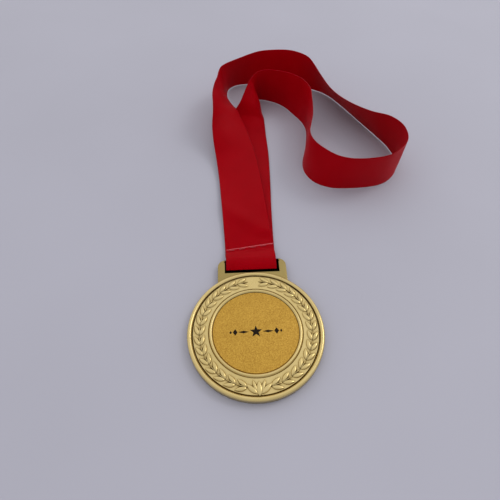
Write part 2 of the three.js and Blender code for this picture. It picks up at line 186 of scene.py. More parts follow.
# %% Glitter foil
def glitter_foil():
    made, tree = new_material("glitter_foil_on_card")
    place = add(tree, "TexCoord", {}).outputs["Object"]
    flakes = add(tree, "TexVoronoi", {"Vector": place, "Scale": 1 / (0.3 * MM)})
    lit = add(tree, "SeparateColor", {0: flakes.outputs["Color"]}).outputs[0]
    clouds = add(tree, "TexNoise", {"Vector": place, "Scale": 1 / (9 * MM), "Detail": 2.0})
    tone = mixed(tree, lit, colour("A4760E"), colour("E0B846"))
    soft = mixed(tree, clouds.outputs["Fac"], colour("AC7C18"), colour("C69430"))
    face = mixed(tree, 0.45, soft, tone)
    centred = add(tree, "VectorMath", {0: flakes.outputs["Color"], 1: (0.5, 0.5, 0.5)},
                  operation="SUBTRACT")
    tilt = add(tree, "VectorMath", {0: centred.outputs[0], "Scale": 0.45}, operation="SCALE")
    upright = add(tree, "NewGeometry", {}).outputs["Normal"]
    leaned = add(tree, "VectorMath", {0: upright, 1: tilt.outputs[0]}, operation="ADD")
    normal = add(tree, "VectorMath", {0: leaned.outputs[0]}, operation="NORMALIZE")
    finish_material(tree, {
        "Base Color": face, "Metallic": 0.35, "Roughness": 0.5, "Normal": normal.outputs[0]})
    return made


# %% [markdown]
# The adhesive film under the disc is never seen in use, but it is a real piece: a milky acrylic film.
# The ornament on the disc is a flat black screen ink, slightly uneven where it was pressed on.

# %% Adhesive film and screen ink
def adhesive_film():
    made, tree = new_material("milky_acrylic_adhesive_film")
    place = add(tree, "TexCoord", {}).outputs["Object"]
    streaks = add(tree, "TexNoise", {"Vector": place, "Scale": 1 / (3 * MM)})
    tone = mixed(tree, streaks.outputs["Fac"], colour("E0DBCB"), colour("F0ECE2"))
    finish_material(tree, {"Base Color": tone, "Roughness": 0.7})
    return made


def screen_ink():
    made, tree = new_material("black_screen_ink")
    place = add(tree, "TexCoord", {}).outputs["Object"]
    mottle = add(tree, "TexNoise", {"Vector": place, "Scale": 1 / (0.4 * MM)})
    tone = mixed(tree, mottle.outputs["Fac"], colour("0C0806"), colour("2A1E10"))
    finish_material(tree, {"Base Color": tone, "Roughness": 0.7, "Specular IOR Level": 0.1})
    return made


# %% [markdown]
# The ribbon is woven polyester satin. Its face is long floats of fine thread, so it shines across the
# weave and looks deep red where it turns away. The UV map holds real metres, across and along, so the
# weave keeps its scale through every fold. Threads are 0.15 mm; they are drawn 0.5 mm to show at all.
# The cloth is thin, so part of the light goes through it and its shaded side glows.
# The two selvedges are denser and darker, and the cut end is melted to a thin pale line.

# %% Satin
WEAVE = 0.5 * MM
SELVEDGE = 0.7 * MM
FUSED = 0.4 * MM  # how much of the cut end has melted


def red_satin(width, length):
    made, tree = new_material("woven_polyester_satin_ribbon")
    place = add(tree, "TexCoord", {}).outputs["UV"]
    parts = add(tree, "SeparateXYZ", {0: place}).outputs
    threads = add(tree, "TexWave", {"Vector": place, "Scale": BAND / WEAVE, "Distortion": 0.6},
                  bands_direction="DIAGONAL")
    ribs = add(tree, "TexWave", {"Vector": place, "Scale": BAND / (0.8 * MM), "Distortion": 0.3},
               bands_direction="Y")
    clouds = add(tree, "TexNoise", {"Vector": place, "Scale": 1 / (14 * MM), "Detail": 3.0})
    weave = add(tree, "Math", {0: threads.outputs["Fac"], 1: ribs.outputs["Fac"]}, operation="ADD")
    base = mixed(tree, clouds.outputs["Fac"], colour("8E0008"), colour("A0000D"))
    woven = add(tree, "MapRange", {0: weave.outputs[0], 1: 0.2, 2: 1.8, 3: 0.0, 4: 0.16})
    toned = mixed(tree, woven.outputs[0], base, colour("C00C1C"))
    centre = add(tree, "Math", {0: parts[0], 1: width / 2}, operation="SUBTRACT")
    off = add(tree, "Math", {0: centre.outputs[0]}, operation="ABSOLUTE")
    edge = add(tree, "MapRange", {0: off.outputs[0], 1: width / 2 - SELVEDGE, 2: width / 2})
    bordered = mixed(tree, edge.outputs[0], toned, colour("84000C"))
    end = add(tree, "MapRange", {0: parts[1], 1: length - FUSED, 2: length - FUSED / 2})
    ended = mixed(tree, end.outputs[0], bordered, colour("C86068"))
    relief = add(tree, "Bump", {"Height": weave.outputs[0], "Strength": 0.3, "Distance": 0.05 * MM})
    finish_material(tree, {
        "Base Color": ended, "Roughness": 0.5, "Anisotropic": 0.4,
        "Specular IOR Level": 0.12, "Specular Tint": colour("FF2038"),
        "Sheen Weight": 0.1, "Sheen Roughness": 0.4, "Sheen Tint": colour("D80818"),
        "Subsurface Weight": 0.65, "Subsurface Radius": (1.0, 0.3, 0.3), "Subsurface Scale": 1.5 * MM,
        "Normal": relief.outputs[0]})
    return made


# %% [markdown]
# The thread that holds the seam is spun polyester, two plies twisted together. The twist is a set of
# slanted bands across its length, and the red of the ribbon shines through it.

# %% Sewing thread
def sewing_thread():
    made, tree = new_material("spun_polyester_sewing_thread")
    place = add(tree, "TexCoord", {}).outputs["Object"]
    plies = add(tree, "TexWave", {"Vector": place, "Scale": BAND / (0.3 * MM), "Distortion": 0.5},
                bands_direction="DIAGONAL")
    tone = mixed(tree, plies.outputs["Fac"], colour("8A1A24"), colour("B8444C"))
    relief = add(tree, "Bump", {"Height": plies.outputs["Fac"], "Strength": 0.5, "Distance": 0.04 * MM})
    finish_material(tree, {"Base Color": tone, "Roughness": 0.75, "Normal": relief.outputs[0]})
    return made


GOLD = gold_plate()
FOIL = glitter_foil()
GLUE = adhesive_film()
INK = screen_ink()
THREAD = sewing_thread()
print("materials", [m.name for m in (GOLD, FOIL, GLUE, INK, THREAD)])

# %% [markdown]
# Pieces are shaped in edit mode, as by hand. An operator works on whatever is selected, so before each
# one the script clears the selection and picks the faces or edges it means, by where they are or by
# where they point.

# %% Helpers for shaping
def start(name):
    """Takes the primitive just added, names it and goes into edit mode."""
    made = bpy.context.object
    made.name = name
    made.data.name = name
    bpy.ops.object.mode_set(mode="EDIT")
    return made


def pick(piece, kind, wanted):
    """Selects, in edit mode, the "verts", "edges" or "faces" that pass a test."""
    mode = {"verts": "VERT", "edges": "EDGE", "faces": "FACE"}[kind]
    bpy.ops.mesh.select_mode(type=mode)
    bpy.ops.mesh.select_all(action="DESELECT")
    mesh = bmesh.from_edit_mesh(piece.data)
    for item in getattr(mesh, kind):
        if wanted(item):
            item.select_set(True)
    bmesh.update_edit_mesh(piece.data)


def done(piece):
    """Leaves edit mode and puts the place, turn and scale into the mesh."""
    bpy.ops.object.mode_set(mode="OBJECT")
    choose(piece)
    bpy.ops.object.transform_apply(location=True, rotation=True, scale=True)
    return piece


def choose(*pieces):
    """Selects only these objects; the last is the active one."""
    bpy.ops.object.select_all(action="DESELECT")
    for piece in pieces:
        piece.select_set(True)
        bpy.context.view_layer.objects.active = piece


def modify(piece, kind, **settings):
    """Adds one modifier and applies it."""
    choose(piece)
    modifier = piece.modifiers.new(kind.lower(), kind)
    for name, value in settings.items():
        setattr(modifier, name, value)
    bpy.ops.object.modifier_apply(modifier=modifier.name)


def arc(radius, height, round_by, start_turn, end_turn, steps):
    """Points (radius, height) on an arc in the section of a round piece, turns in degrees."""
    turns = np.radians(np.linspace(start_turn, end_turn, steps + 1))
    return [(radius + round_by * math.cos(a), height + round_by * math.sin(a)) for a in turns]


# %% [markdown]
# The body of the medal is a round cast plate. In Blender it could be a profile spun about the middle,
# but insetting a disc's face again and again is the same shape with less to go wrong: each inset steps
# inward, and its depth steps up or down. The list of radius and height reads like the medal's section,
# from the rounded rim over the groove and the field to the pocket in the middle.

# %% The medal's body
ROUND_STEPS = 256
RIM_EDGE = 0.8 * MM
GROOVE_R = 29.65 * MM
GROOVE_Z = 3.2 * MM
GROOVE_FLAT = 0.15 * MM  # half width of the groove's floor
GROOVE_HALF = 0.6 * MM  # from its middle to where it meets the field
FIELD_Z = 3.6 * MM
RING_OUT_R = 21.8 * MM
RING_TOP_R = 21.0 * MM
RING_TOP = 4.2 * MM
RING_ROUND = 0.7 * MM
RING_LINE = 0.35 * MM  # a fine line is sunk round the ring's foot, this wide
RING_LINE_DEEP = 0.15 * MM
RECESS_R = disc_high.x + 0.2 * MM
RECESS_Z = 2.9 * MM
PAD_R = 22.3 * MM
BACK_BAND_Z = 0.7 * MM
BACK_RIM_R = 29.6 * MM
BACK_SLOPE = 0.5 * MM
LEAST_STEP = 0.01 * MM  # an upright wall still steps in by this much


def step_inward(section, facing):
    """Insets the chosen round face through (radius, height) points; facing is 1 up, -1 down."""
    for (wide, low), (narrow, high) in zip(section, section[1:]):
        inward = max(LEAST_STEP, wide - narrow)
        bpy.ops.mesh.inset(thickness=inward, depth=facing * (high - low), use_even_offset=True)


rim_middle = (MEDAL_R + GROOVE_R) / 2
rim_round = MEDAL_R - rim_middle
shoulder = RIM_TOP - rim_round
front = [
    *arc(rim_middle, shoulder, rim_round, 0, 150, 14),
    (GROOVE_R + GROOVE_FLAT, GROOVE_Z),
    (GROOVE_R - GROOVE_FLAT, GROOVE_Z),
    (GROOVE_R - GROOVE_HALF, FIELD_Z),
    (RING_OUT_R + RING_LINE, FIELD_Z),
    (RING_OUT_R + RING_LINE_DEEP, FIELD_Z - RING_LINE_DEEP),
    (RING_OUT_R, FIELD_Z),
    *arc(RING_TOP_R, RING_TOP - RING_ROUND, RING_ROUND, 35, 145, 8),
    (RECESS_R, FIELD_Z),
    (RECESS_R, RECESS_Z),
]
back = [
    (MEDAL_R - RIM_EDGE, 0),
    (BACK_RIM_R, 0),
    (BACK_RIM_R - BACK_SLOPE, BACK_BAND_Z),
    (PAD_R + BACK_SLOPE, BACK_BAND_Z),
    (PAD_R, 0),
]
bpy.ops.object.select_all(action="DESELECT")
bpy.ops.mesh.primitive_cylinder_add(
    vertices=ROUND_STEPS, radius=MEDAL_R, depth=shoulder, location=(0, 0, shoulder / 2))
body = start("medal_body")
pick(body, "faces", lambda f: f.normal.z > 0.9)
step_inward(front, 1)
pick(body, "faces", lambda f: f.normal.z < -0.9 and len(f.verts) > 4)
bpy.ops.mesh.inset(thickness=RIM_EDGE, depth=0)
low_wall = -shoulder / 2
pick(body, "verts", lambda v: v.co.xy.length > MEDAL_R - LEAST_STEP and v.co.z < low_wall + LEAST_STEP)
bpy.ops.transform.translate(value=(0, 0, RIM_EDGE))
pick(body, "faces", lambda f: f.normal.z < -0.9 and len(f.verts) > 4)
step_inward(back, -1)
done(body)
body_top = max(v.co.z for v in body.data.vertices)
print("body", len(body.data.polygons), "faces, top at", round(body_top / MM, 2), "mm")

# %% [markdown]
# The tab is a plate with two rounded upper corners. It starts as a cube, two upright edges are bevelled
# into the corners, and a second cube cuts the slot out. The bar that the ribbon turns round is a third
# cube with its long edges rounded. On the real medal all of it is one casting.

# %% The tab, the slot and the bar
TAB_W = 35.4 * MM
TAB_ROOT_Y = 24 * MM
TAB_CORNER = 4 * MM
TAB_T = 2.2 * MM
TAB_Z0 = HINGE[2] - TAB_T / 2
SLOT_W = 28 * MM
SLOT_Y0 = 32.2 * MM
BAR_W = 2 * (TAB_TOP_Y - HINGE[1])
BAR_ROUND = 0.8 * MM
BAR_IN = MM / 2  # how far the bar reaches into the tab
SOFT_EDGE = 0.35 * MM


def block(name, low, high):
    """A cube between two corners, left in edit mode."""
    bpy.ops.object.select_all(action="DESELECT")
    size = [b - a for a, b in zip(low, high)]
    middle = [(a + b) / 2 for a, b in zip(low, high)]
    bpy.ops.mesh.primitive_cube_add(size=1, location=middle)
    bpy.context.object.scale = size
    bpy.ops.object.transform_apply(location=True, rotation=True, scale=True)
    return start(name)


tab = block("tab_plate", (-TAB_W / 2, TAB_ROOT_Y, TAB_Z0), (TAB_W / 2, TAB_TOP_Y, TAB_Z0 + TAB_T))
pick(tab, "edges", lambda e: all(v.co.y > TAB_TOP_Y - LEAST_STEP for v in e.verts)
     and abs(e.verts[0].co.z - e.verts[1].co.z) > TAB_T / 2)
bpy.ops.mesh.bevel(offset=TAB_CORNER, segments=14, affect="EDGES")
done(tab)
slot = block("slot_cutter", (-SLOT_W / 2, SLOT_Y0, TAB_Z0 - TAB_T),
             (SLOT_W / 2, TAB_TOP_Y + TAB_T, TAB_Z0 + 2 * TAB_T))
done(slot)
modify(tab, "BOOLEAN", operation="DIFFERENCE", object=slot, solver="EXACT")
bpy.data.objects.remove(slot)
modify(tab, "BEVEL", width=SOFT_EDGE, segments=3, limit_method="ANGLE", angle_limit=math.radians(50))

bar = block("bar", (-SLOT_W / 2 - BAR_IN, HINGE[1] - BAR_W / 2, TAB_Z0),
            (SLOT_W / 2 + BAR_IN, HINGE[1] + BAR_W / 2, TAB_Z0 + TAB_T))
pick(bar, "edges", lambda e: abs(e.verts[0].co.x - e.verts[1].co.x) > SLOT_W / 2)
bpy.ops.mesh.bevel(offset=BAR_ROUND, segments=6, affect="EDGES")
done(bar)
print("tab", len(tab.data.polygons), "faces, slot", round(SLOT_W / MM, 1), "mm wide")

# %% [markdown]
# A wreath leaf stands up from the field as a pointed mound with steep sides. One grid is lifted row by
# row, pinched to the leaf's outline column by column, and thickened downward. Then it is copied: every
# leaf of both branches is the same shape, turned and placed by a rule.

# %% One leaf
LEAF_LONG = 2.75 * MM  # half length
LEAF_HALF_W = 1.1 * MM
LEAF_HIGH = 0.66 * MM
LEAF_SINK = 0.35 * MM  # how far the leaf's skirt reaches into the field
LEAF_STEEP = 4  # a higher power gives a flatter top and steeper sides
LEAF_BELLY = 2.2  # a higher power keeps the leaf wide for longer
LEAF_UNEVEN = 0.18  # the leaf is widest a little before its middle
LEAF_TIP = 0.02  # its least width, as a share
LEAF_FALL = 0.6  # a lower power keeps the leaf high for longer
COLUMNS = 14
ROWS = 8

bpy.ops.object.select_all(action="DESELECT")
bpy.ops.mesh.primitive_grid_add(x_subdivisions=COLUMNS, y_subdivisions=ROWS, size=2)
leaf = start("leaf")
for j in range(1, ROWS):
    aside = 2 * j / ROWS - 1
    pick(leaf, "verts", lambda v, y=aside: abs(v.co.y - y) < 0.5 / ROWS)
    bpy.ops.transform.translate(value=(0, 0, 1 - abs(aside) ** LEAF_STEEP))
for i in range(COLUMNS + 1):
    along = 2 * i / COLUMNS - 1
    pick(leaf, "verts", lambda v, x=along: abs(v.co.x - x) < 0.5 / COLUMNS)
    pinch = max(LEAF_TIP, (1 - abs(along) ** LEAF_BELLY) * (1 - LEAF_UNEVEN * along))
    bpy.ops.transform.resize(value=(1, pinch, pinch ** LEAF_FALL), center_override=(along, 0, 0))
bpy.ops.mesh.select_all(action="SELECT")
bpy.ops.transform.resize(value=(LEAF_LONG, LEAF_HALF_W, LEAF_HIGH), center_override=(0, 0, 0))
bpy.ops.object.mode_set(mode="OBJECT")
modify(leaf, "SOLIDIFY", thickness=LEAF_SINK, offset=-1)
print("leaf", len(leaf.data.polygons), "faces")

# %% [markdown]
# Two branches rise from a bud of five leaves at the foot of the medal and lean together at the top. A pair
# of leaves opens at each step along the stem, one to the rim and one to the disc, tips pointing up.
# The leaves and the stem are joined to the body and the tab, because the real medal is one casting.

# %% The wreath
LEAF_PAIRS = 15
STEM_R = 26.1 * MM
STEM_FROM = 0.2  # radians from the foot of the medal
STEM_TO = 3.03
STEM_SHAPE = (1.05, 0.22)  # a piece of stem is a leaf, longer and much narrower
LEAF_OUT = 1.3 * MM
LEAF_SPREAD = 0.42  # radians that a leaf turns away from the stem
BUD_Y = -26.3 * MM
BUD_MIDDLE = (1.2, 1.35)  # longer by, wider by
BUD_LEAVES = (  # aside by, up by, turned out by, longer by, wider by
    (3.2 * MM, -0.1 * MM, 0.85, 1.2, 1.1),
    (1.9 * MM, 1.1 * MM, 0.3, 1.0, 0.8),
)


def place_leaf(x, y, heading, longer=1.0, wider=1.0):
    """A copy of the leaf with its own mesh, turned to a heading and laid on the field."""
    copy = leaf.copy()
    copy.data = leaf.data.copy()
    bpy.context.collection.objects.link(copy)
    copy.location = (x, y, FIELD_Z)
    copy.rotation_euler = (0, 0, heading)
    copy.scale = (longer, wider, 1)
    return copy


wreath = [place_leaf(0, BUD_Y, math.pi / 2, *BUD_MIDDLE)]
for side in (-1, 1):
    for out, up, turned, longer, wider in BUD_LEAVES:
        wreath.append(place_leaf(side * out, BUD_Y + up, math.pi / 2 - side * turned, longer, wider))
    for i in range(LEAF_PAIRS):
        turn = STEM_FROM + (STEM_TO - STEM_FROM) * (i + 0.5) / LEAF_PAIRS
        angle = -math.pi / 2 + side * turn
        forward = angle + side * math.pi / 2
        for edge in (-1, 1):
            radius = STEM_R + edge * LEAF_OUT
            heading = forward - side * edge * LEAF_SPREAD
            x, y = radius * math.cos(angle), radius * math.sin(angle)
            wreath.append(place_leaf(x, y, heading))
        x, y = STEM_R * math.cos(angle), STEM_R * math.sin(angle)
        wreath.append(place_leaf(x, y, forward, *STEM_SHAPE))
bpy.data.objects.remove(leaf)

choose(*wreath, tab, bar, body)
bpy.ops.object.transform_apply(location=True, rotation=True, scale=True)
bpy.ops.object.join()
casting = bpy.context.object
casting.name = casting.data.name = "gold_casting"
bpy.ops.object.shade_smooth_by_angle(angle=math.radians(32))
casting.data.materials.clear()
casting.data.materials.append(GOLD)
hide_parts("medal_casting")
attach(casting, "medal")
print("casting", len(casting.data.polygons), "faces,", len(wreath), "leaves and stem pieces")

# %% [markdown]
# The foil disc and the film under it already have their true shape, so the CAD pieces stay and only take
# a better material. Their meshes aren't touched.

# %% The disc and its adhesive
for name, finish in (("centre_disc", FOIL), ("disc_adhesive", GLUE)):
    carried = frame["nodes"][name]
    carried.data.materials.clear()
    carried.data.materials.append(finish)
    print(name, "now", finish.name)

# %% [markdown]
# A printed ornament lies on the foil: a star with a tapering rule and a small lozenge on each side. Ink
# is a film a few hundredths of a millimetre thick. The star is a circle of ten points with every other
# point drawn in, the rules and lozenges are four-sided circles pulled long, and all are thickened a touch.

# %% The printed ornament
INK_T = 0.03 * MM
INK_Z = disc_high.z + 0.004 * MM
PRINT_Y = -0.6 * MM
STAR_R = 3.0 * MM
STAR_WAIST = 0.42
MARKS = (  # name, radius, how far from the star, stretched by
    ("rule", 1 * MM, 5.7 * MM, (2.6, 0.62, 1)),
    ("lozenge", 1 * MM, 9.6 * MM, (1.1, 1.6, 1)),
    ("small_lozenge", 0.5 * MM, 11.7 * MM, (1.1, 1.6, 1)),
)


def flat_shape(name, points, radius, x, stretch=(1, 1, 1)):
    """A filled circle of a few points, moved along the ornament and stretched."""
    bpy.ops.object.select_all(action="DESELECT")
    bpy.ops.mesh.primitive_circle_add(vertices=points, radius=radius, fill_type="NGON")
    made = start(name)
    bpy.ops.mesh.select_all(action="SELECT")
    bpy.ops.transform.resize(value=stretch, center_override=(0, 0, 0))
    bpy.ops.transform.translate(value=(x, 0, 0))
    return made


star = flat_shape("star", 10, STAR_R, 0)
pick(star, "verts", lambda v: round(math.atan2(v.co.x, v.co.y) / math.radians(36)) % 2 == 1)
bpy.ops.transform.resize(value=(STAR_WAIST,) * 3, center_override=(0, 0, 0))
bpy.ops.object.mode_set(mode="OBJECT")
marks = [star]
for side in (-1, 1):
    for name, radius, out, stretch in MARKS:
        marks.append(flat_shape(name, 4, radius, side * out, stretch))
        bpy.ops.object.mode_set(mode="OBJECT")
choose(*marks)
bpy.ops.object.join()
ornament = bpy.context.object
ornament.name = ornament.data.name = "disc_print"
ornament.location = (0, PRINT_Y, INK_Z)
bpy.ops.object.transform_apply(location=True, rotation=True, scale=True)
modify(ornament, "SOLIDIFY", thickness=INK_T, offset=1)
ornament.data.materials.append(INK)
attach(ornament, "medal")
print("ornament", round(ornament.dimensions.x / MM, 1), "mm wide")

# %% [markdown]
# The ribbon could be a cloth simulation, but its folds are known and sharp, and a strap keeps its width
# better when it is laid through listed stations. Each station gives the ribbon's two edges and how far its
# middle bulges from the straight line between them. Smooth curves join the stations, and the line across is
# shortened where the ribbon bulges, so that the satin is never stretched.

# %% The ribbon's route
# Metres: one edge x, y, z, the other edge x, y, z, and the bulge. From the hidden end under the seam, up
# the top strand, round the neck loop and back down the lower strand to the bar.
ROUTE = [
    (0.0126, 0.0444, 0.00155, -0.0139, 0.0432, 0.00155, 0),
    (0.0124, 0.052, 0.00155, -0.0141, 0.0505, 0.00155, 0),
    (0.0119, 0.061, 0.0018, -0.0145, 0.059, 0.0018, 0),
    (0.0113, 0.072, 0.0021, -0.0151, 0.07, 0.0022, 0),
    (0.0102, 0.0895, 0.0022, -0.0162, 0.0875, 0.0024, 0),
    (0.0089, 0.108, 0.0022, -0.0175, 0.106, 0.0026, 0),
    (0.0068, 0.126, 0.0032, -0.0196, 0.124, 0.0056, 0),
    (0.0036, 0.141, 0.0044, -0.021, 0.1385, 0.0135, 0.0006),
    (0.0004, 0.152, 0.0066, -0.019, 0.147, 0.0194, 0.0026),
    (-0.0018, 0.158, 0.0082, -0.0182, 0.153, 0.0226, 0.0032),
    (-0.004, 0.1646, 0.0101, -0.0176, 0.1593, 0.0252, 0.0034),
    (-0.0064, 0.173, 0.0076, -0.0168, 0.1685, 0.026, 0.003),
    (-0.009, 0.184, 0.0042, -0.0162, 0.178, 0.0264, 0.002),
    (-0.0108, 0.193, 0.002, -0.0158, 0.1865, 0.0264, 0.0008),
    (-0.011, 0.2, 0.001, -0.0142, 0.1936, 0.0266, 0),
    (-0.01, 0.2062, 0.0006, -0.01, 0.199, 0.0266, 0),
    (-0.007, 0.2106, 0.0004, -0.005, 0.2032, 0.0266, 0),
    (-0.0024, 0.2132, 0.0004, 0.0008, 0.207, 0.0266, 0),
    (0.004, 0.2144, 0.0004, 0.0066, 0.2104, 0.0266, 0),
    (0.0165, 0.214, 0.0004, 0.0178, 0.215, 0.0266, 0),
    (0.035, 0.2124, 0.0004, 0.036, 0.2154, 0.0266, 0),
    (0.045, 0.2096, 0.0004, 0.044, 0.211, 0.0266, 0),
    (0.053, 0.206, 0.0004, 0.05, 0.2046, 0.0266, 0),
    (0.0615, 0.201, 0.0004, 0.0536, 0.196, 0.0252, 0),
    (0.0685, 0.1935, 0.0004, 0.0564, 0.187, 0.0234, 0),
    (0.077, 0.1775, 0.0004, 0.0622, 0.1695, 0.0212, 0),
    (0.085, 0.16, 0.0004, 0.0712, 0.153, 0.0216, 0),
    (0.093, 0.1425, 0.0004, 0.0824, 0.138, 0.024, 0),
    (0.0976, 0.1305, 0.0004, 0.092, 0.129, 0.0262, 0),
    (0.099, 0.119, 0.0004, 0.0968, 0.1184, 0.0268, 0),
    (0.0954, 0.1064, 0.0004, 0.0954, 0.1058, 0.027, 0),
    (0.0885, 0.0985, 0.0004, 0.0888, 0.0976, 0.027, 0),
    (0.0805, 0.0946, 0.0004, 0.0806, 0.092, 0.0266, 0),
    (0.0615, 0.093, 0.0004, 0.062, 0.09, 0.0266, 0),
    (0.0505, 0.0945, 0.0004, 0.052, 0.093, 0.0266, 0),
    (0.0424, 0.0996, 0.0004, 0.0446, 0.1004, 0.027, 0),
    (0.038, 0.1075, 0.0004, 0.04, 0.1082, 0.027, 0),
    (0.0374, 0.116, 0.0004, 0.039, 0.1166, 0.027, 0),
    (0.0416, 0.133, 0.0004, 0.0432, 0.1336, 0.027, 0),
    (0.0444, 0.152, 0.0004, 0.0454, 0.1528, 0.027, 0),
    (0.0424, 0.162, 0.0004, 0.046, 0.1636, 0.0268, 0),
    (0.0378, 0.171, 0.0004, 0.043, 0.1738, 0.0264, 0),
    (0.0328, 0.18, 0.0004, 0.0354, 0.1814, 0.027, 0),
    (0.0265, 0.1865, 0.0004, 0.027, 0.1852, 0.027, 0),
    (0.0185, 0.1908, 0.0004, 0.0172, 0.1874, 0.0268, 0),
    (0.0142, 0.1918, 0.0004, 0.0106, 0.1852, 0.026, 0),
    (0.012, 0.1896, 0.0005, 0.0066, 0.1802, 0.0248, 0.0006),
    (0.0122, 0.1854, 0.0005, 0.0046, 0.1764, 0.0224, 0.0026),
    (0.013, 0.1804, 0.0005, 0.002, 0.1716, 0.0182, 0.0044),
    (0.0138, 0.1748, 0.0005, -0.0004, 0.1676, 0.0134, 0.0054),
    (0.0145, 0.169, 0.0005, -0.003, 0.166, 0.0086, 0.0054),
    (0.015, 0.1628, 0.0005, -0.0074, 0.1636, 0.0046, 0.0044),
    (0.0154, 0.156, 0.0005, -0.0096, 0.158, 0.0022, 0.0026),
    (0.0157, 0.148, 0.0005, -0.0107, 0.1494, 0.0009, 0.0008),
    (0.0159, 0.138, 0.0005, -0.0106, 0.138, 0.0005, 0),
    (0.016, 0.127, 0.0005, -0.0105, 0.127, 0.0005, 0),
    (0.015, 0.1, 0.0006, -0.0115, 0.1, 0.0006, 0),
    (0.0138, 0.077, 0.0008, -0.0127, 0.077, 0.0008, 0),
    (0.0132, 0.06, 0.0009, -0.0133, 0.06, 0.0009, 0),
    (0.013, 0.05, 0.0009, -0.0135, 0.0485, 0.0009, 0),
    (0.01295, 0.0446, 0.00075, -0.01355, 0.0446, 0.00075, 0),
    (0.01295, 0.0414, 0.00054, -0.01355, 0.0414, 0.00054, 0),
]
# The tongue that comes back over the bar and is stitched down on the strands.
TONGUE = [
    (0.01295, 0.041, 0.00395, -0.01355, 0.041, 0.00395, 0),
    (0.0129, 0.0436, 0.0033, -0.0136, 0.0432, 0.0033, 0),
    (0.0128, 0.047, 0.0024, -0.0137, 0.0452, 0.0026, 0),
    (0.0127, 0.0492, 0.0022, -0.0138, 0.0462, 0.0023, 0),
    (0.0126, 0.0512, 0.0022, -0.0139, 0.0475, 0.0022, 0),
]

# %% [markdown]
# The curves through the stations are centripetal Catmull-Rom splines: they pass through every station
# and don't loop or overshoot where stations are close together.

# %% Smooth rows across the ribbon
RIBBON_W = 26.2 * MM
RIBBON_T = 0.44 * MM
WRAP_R = 1.75 * MM  # half height of the slack turn round the bar
WRAP_CLEAR = 0.85 * MM  # from the middle of the band to the slot's lower edge
WRAP_REACH = HINGE[1] - SLOT_Y0 - WRAP_CLEAR  # how far that turn droops forward in the slot
WRAP_X = -0.3 * MM
WRAP_STEPS = 24
ROWS_PER_STATION = 8


def smooth_curve(points, steps):
    """A centripetal Catmull-Rom curve through the points, with this many steps to each."""
    points = np.array(points, float)
    ends = [2 * points[0] - points[1], *points, 2 * points[-1] - points[-2]]
    made = []
    for p0, p1, p2, p3 in zip(ends, ends[1:], ends[2:], ends[3:]):
        d0, d1, d2 = (math.sqrt(np.linalg.norm(b - a)) for a, b in ((p0, p1), (p1, p2), (p2, p3)))
        leave = ((p1 - p0) / d0 - (p2 - p0) / (d0 + d1) + (p2 - p1) / d1) * d1
        arrive = ((p2 - p1) / d1 - (p3 - p1) / (d1 + d2) + (p3 - p2) / d2) * d1
        for t in np.arange(steps) / steps:
            made.append(p1 + leave * t + (3 * (p2 - p1) - 2 * leave - arrive) * t ** 2
                        + (2 * (p1 - p2) + leave + arrive) * t ** 3)
    return np.array([*made, points[-1]])


def rows(stations):
    """The two edges and the bulge at every row between the stations."""
    stations = np.array(stations, float)
    first = smooth_curve(stations[:, 0:3], ROWS_PER_STATION)
    second = smooth_curve(stations[:, 3:6], ROWS_PER_STATION)
    order = np.arange(len(stations))
    bulge = smooth_curve(np.column_stack([order, stations[:, 6] / MM]), ROWS_PER_STATION)[:, 1] * MM
    return first, second, bulge


def wrap_rows():
    """The half turn round the bar, from under it, through the slot and over it."""
    turns = -math.pi / 2 - math.pi * np.arange(WRAP_STEPS + 1) / WRAP_STEPS
    y = HINGE[1] + WRAP_REACH * np.cos(turns)
    z = HINGE[2] + WRAP_R * np.sin(turns)
    sides = [np.column_stack([np.full_like(y, WRAP_X + s * RIBBON_W / 2), y, z]) for s in (1, -1)]
    return sides[0], sides[1], np.zeros_like(y)


groups = [rows(ROUTE), wrap_rows(), rows(TONGUE)]
right, left, bulge = (np.concatenate([g[k] for g in groups]) for k in range(3))
print(len(right), "rows along the ribbon")

# %% [markdown]
# Each row becomes a line of points from one edge to the other. A bowed row spans less than the ribbon's
# width, so the length of its chord is worked out from the width and the bulge. A flat row is centred
# between its two edges, and a standing one keeps its foot. Columns are closer together at the selvedges.

# %% Lay the ribbon
EDGE_COLUMNS = (0, 0.008, 0.02, 0.04)  # as shares of the width
INNER_COLUMNS = (0.06, 0.94)
INNER_COUNT = 23


def unit(vectors):
    return vectors / np.linalg.norm(vectors, axis=-1, keepdims=True)


def soft_step(x):
    x = np.clip(x, 0, 1)
    return x * x * (3 - 2 * x)


def neighbours(grid, axis):
    """The difference between each point's two neighbours along an axis, one-sided at the ends."""
    size = grid.shape[axis]
    order = np.arange(size)
    after = np.take(grid, np.minimum(order + 1, size - 1), axis)
    before = np.take(grid, np.maximum(order - 1, 0), axis)
    return after - before


inner = np.linspace(*INNER_COLUMNS, INNER_COUNT)
share = np.array([*EDGE_COLUMNS, *inner, *(1 - np.array(EDGE_COLUMNS[::-1]))])
travel = neighbours(right + left, 0)
lean = unit(left - right)
root = np.sqrt(np.maximum(0, RIBBON_W ** 2 - 32 * bulge ** 2 / 3))
chord = (RIBBON_W + root) / 2
spare = np.linalg.norm(left - right, axis=1) - chord
from_edge = spare / 2 * (1 - np.abs(lean[:, 2]))  # centred where it lies, on its foot where it stands
upward = unit(np.cross(lean, travel))
grid = (right[:, None] + lean[:, None] * (from_edge[:, None] + chord[:, None] * share)[:, :, None]
        + upward[:, None] * (4 * bulge[:, None] * share * (1 - share))[:, :, None])
middle = grid[:, len(share) // 2]
along = np.concatenate([[0], np.cumsum(np.linalg.norm(np.diff(middle, axis=0), axis=1))])
LENGTH = float(along[-1])
print("ribbon", round(RIBBON_W / MM, 1), "mm wide,", round(LENGTH / MM), "mm long")

# %% [markdown]
# Satin never lies quite true. The top strand has a slanting crease above the seam where it was folded in
# its packet, and one margin lifts a little. Both are small lifts that start clear of the sewn layers.
# Elsewhere the band waves by a fraction of a millimetre along its normal, fading towards both ends.

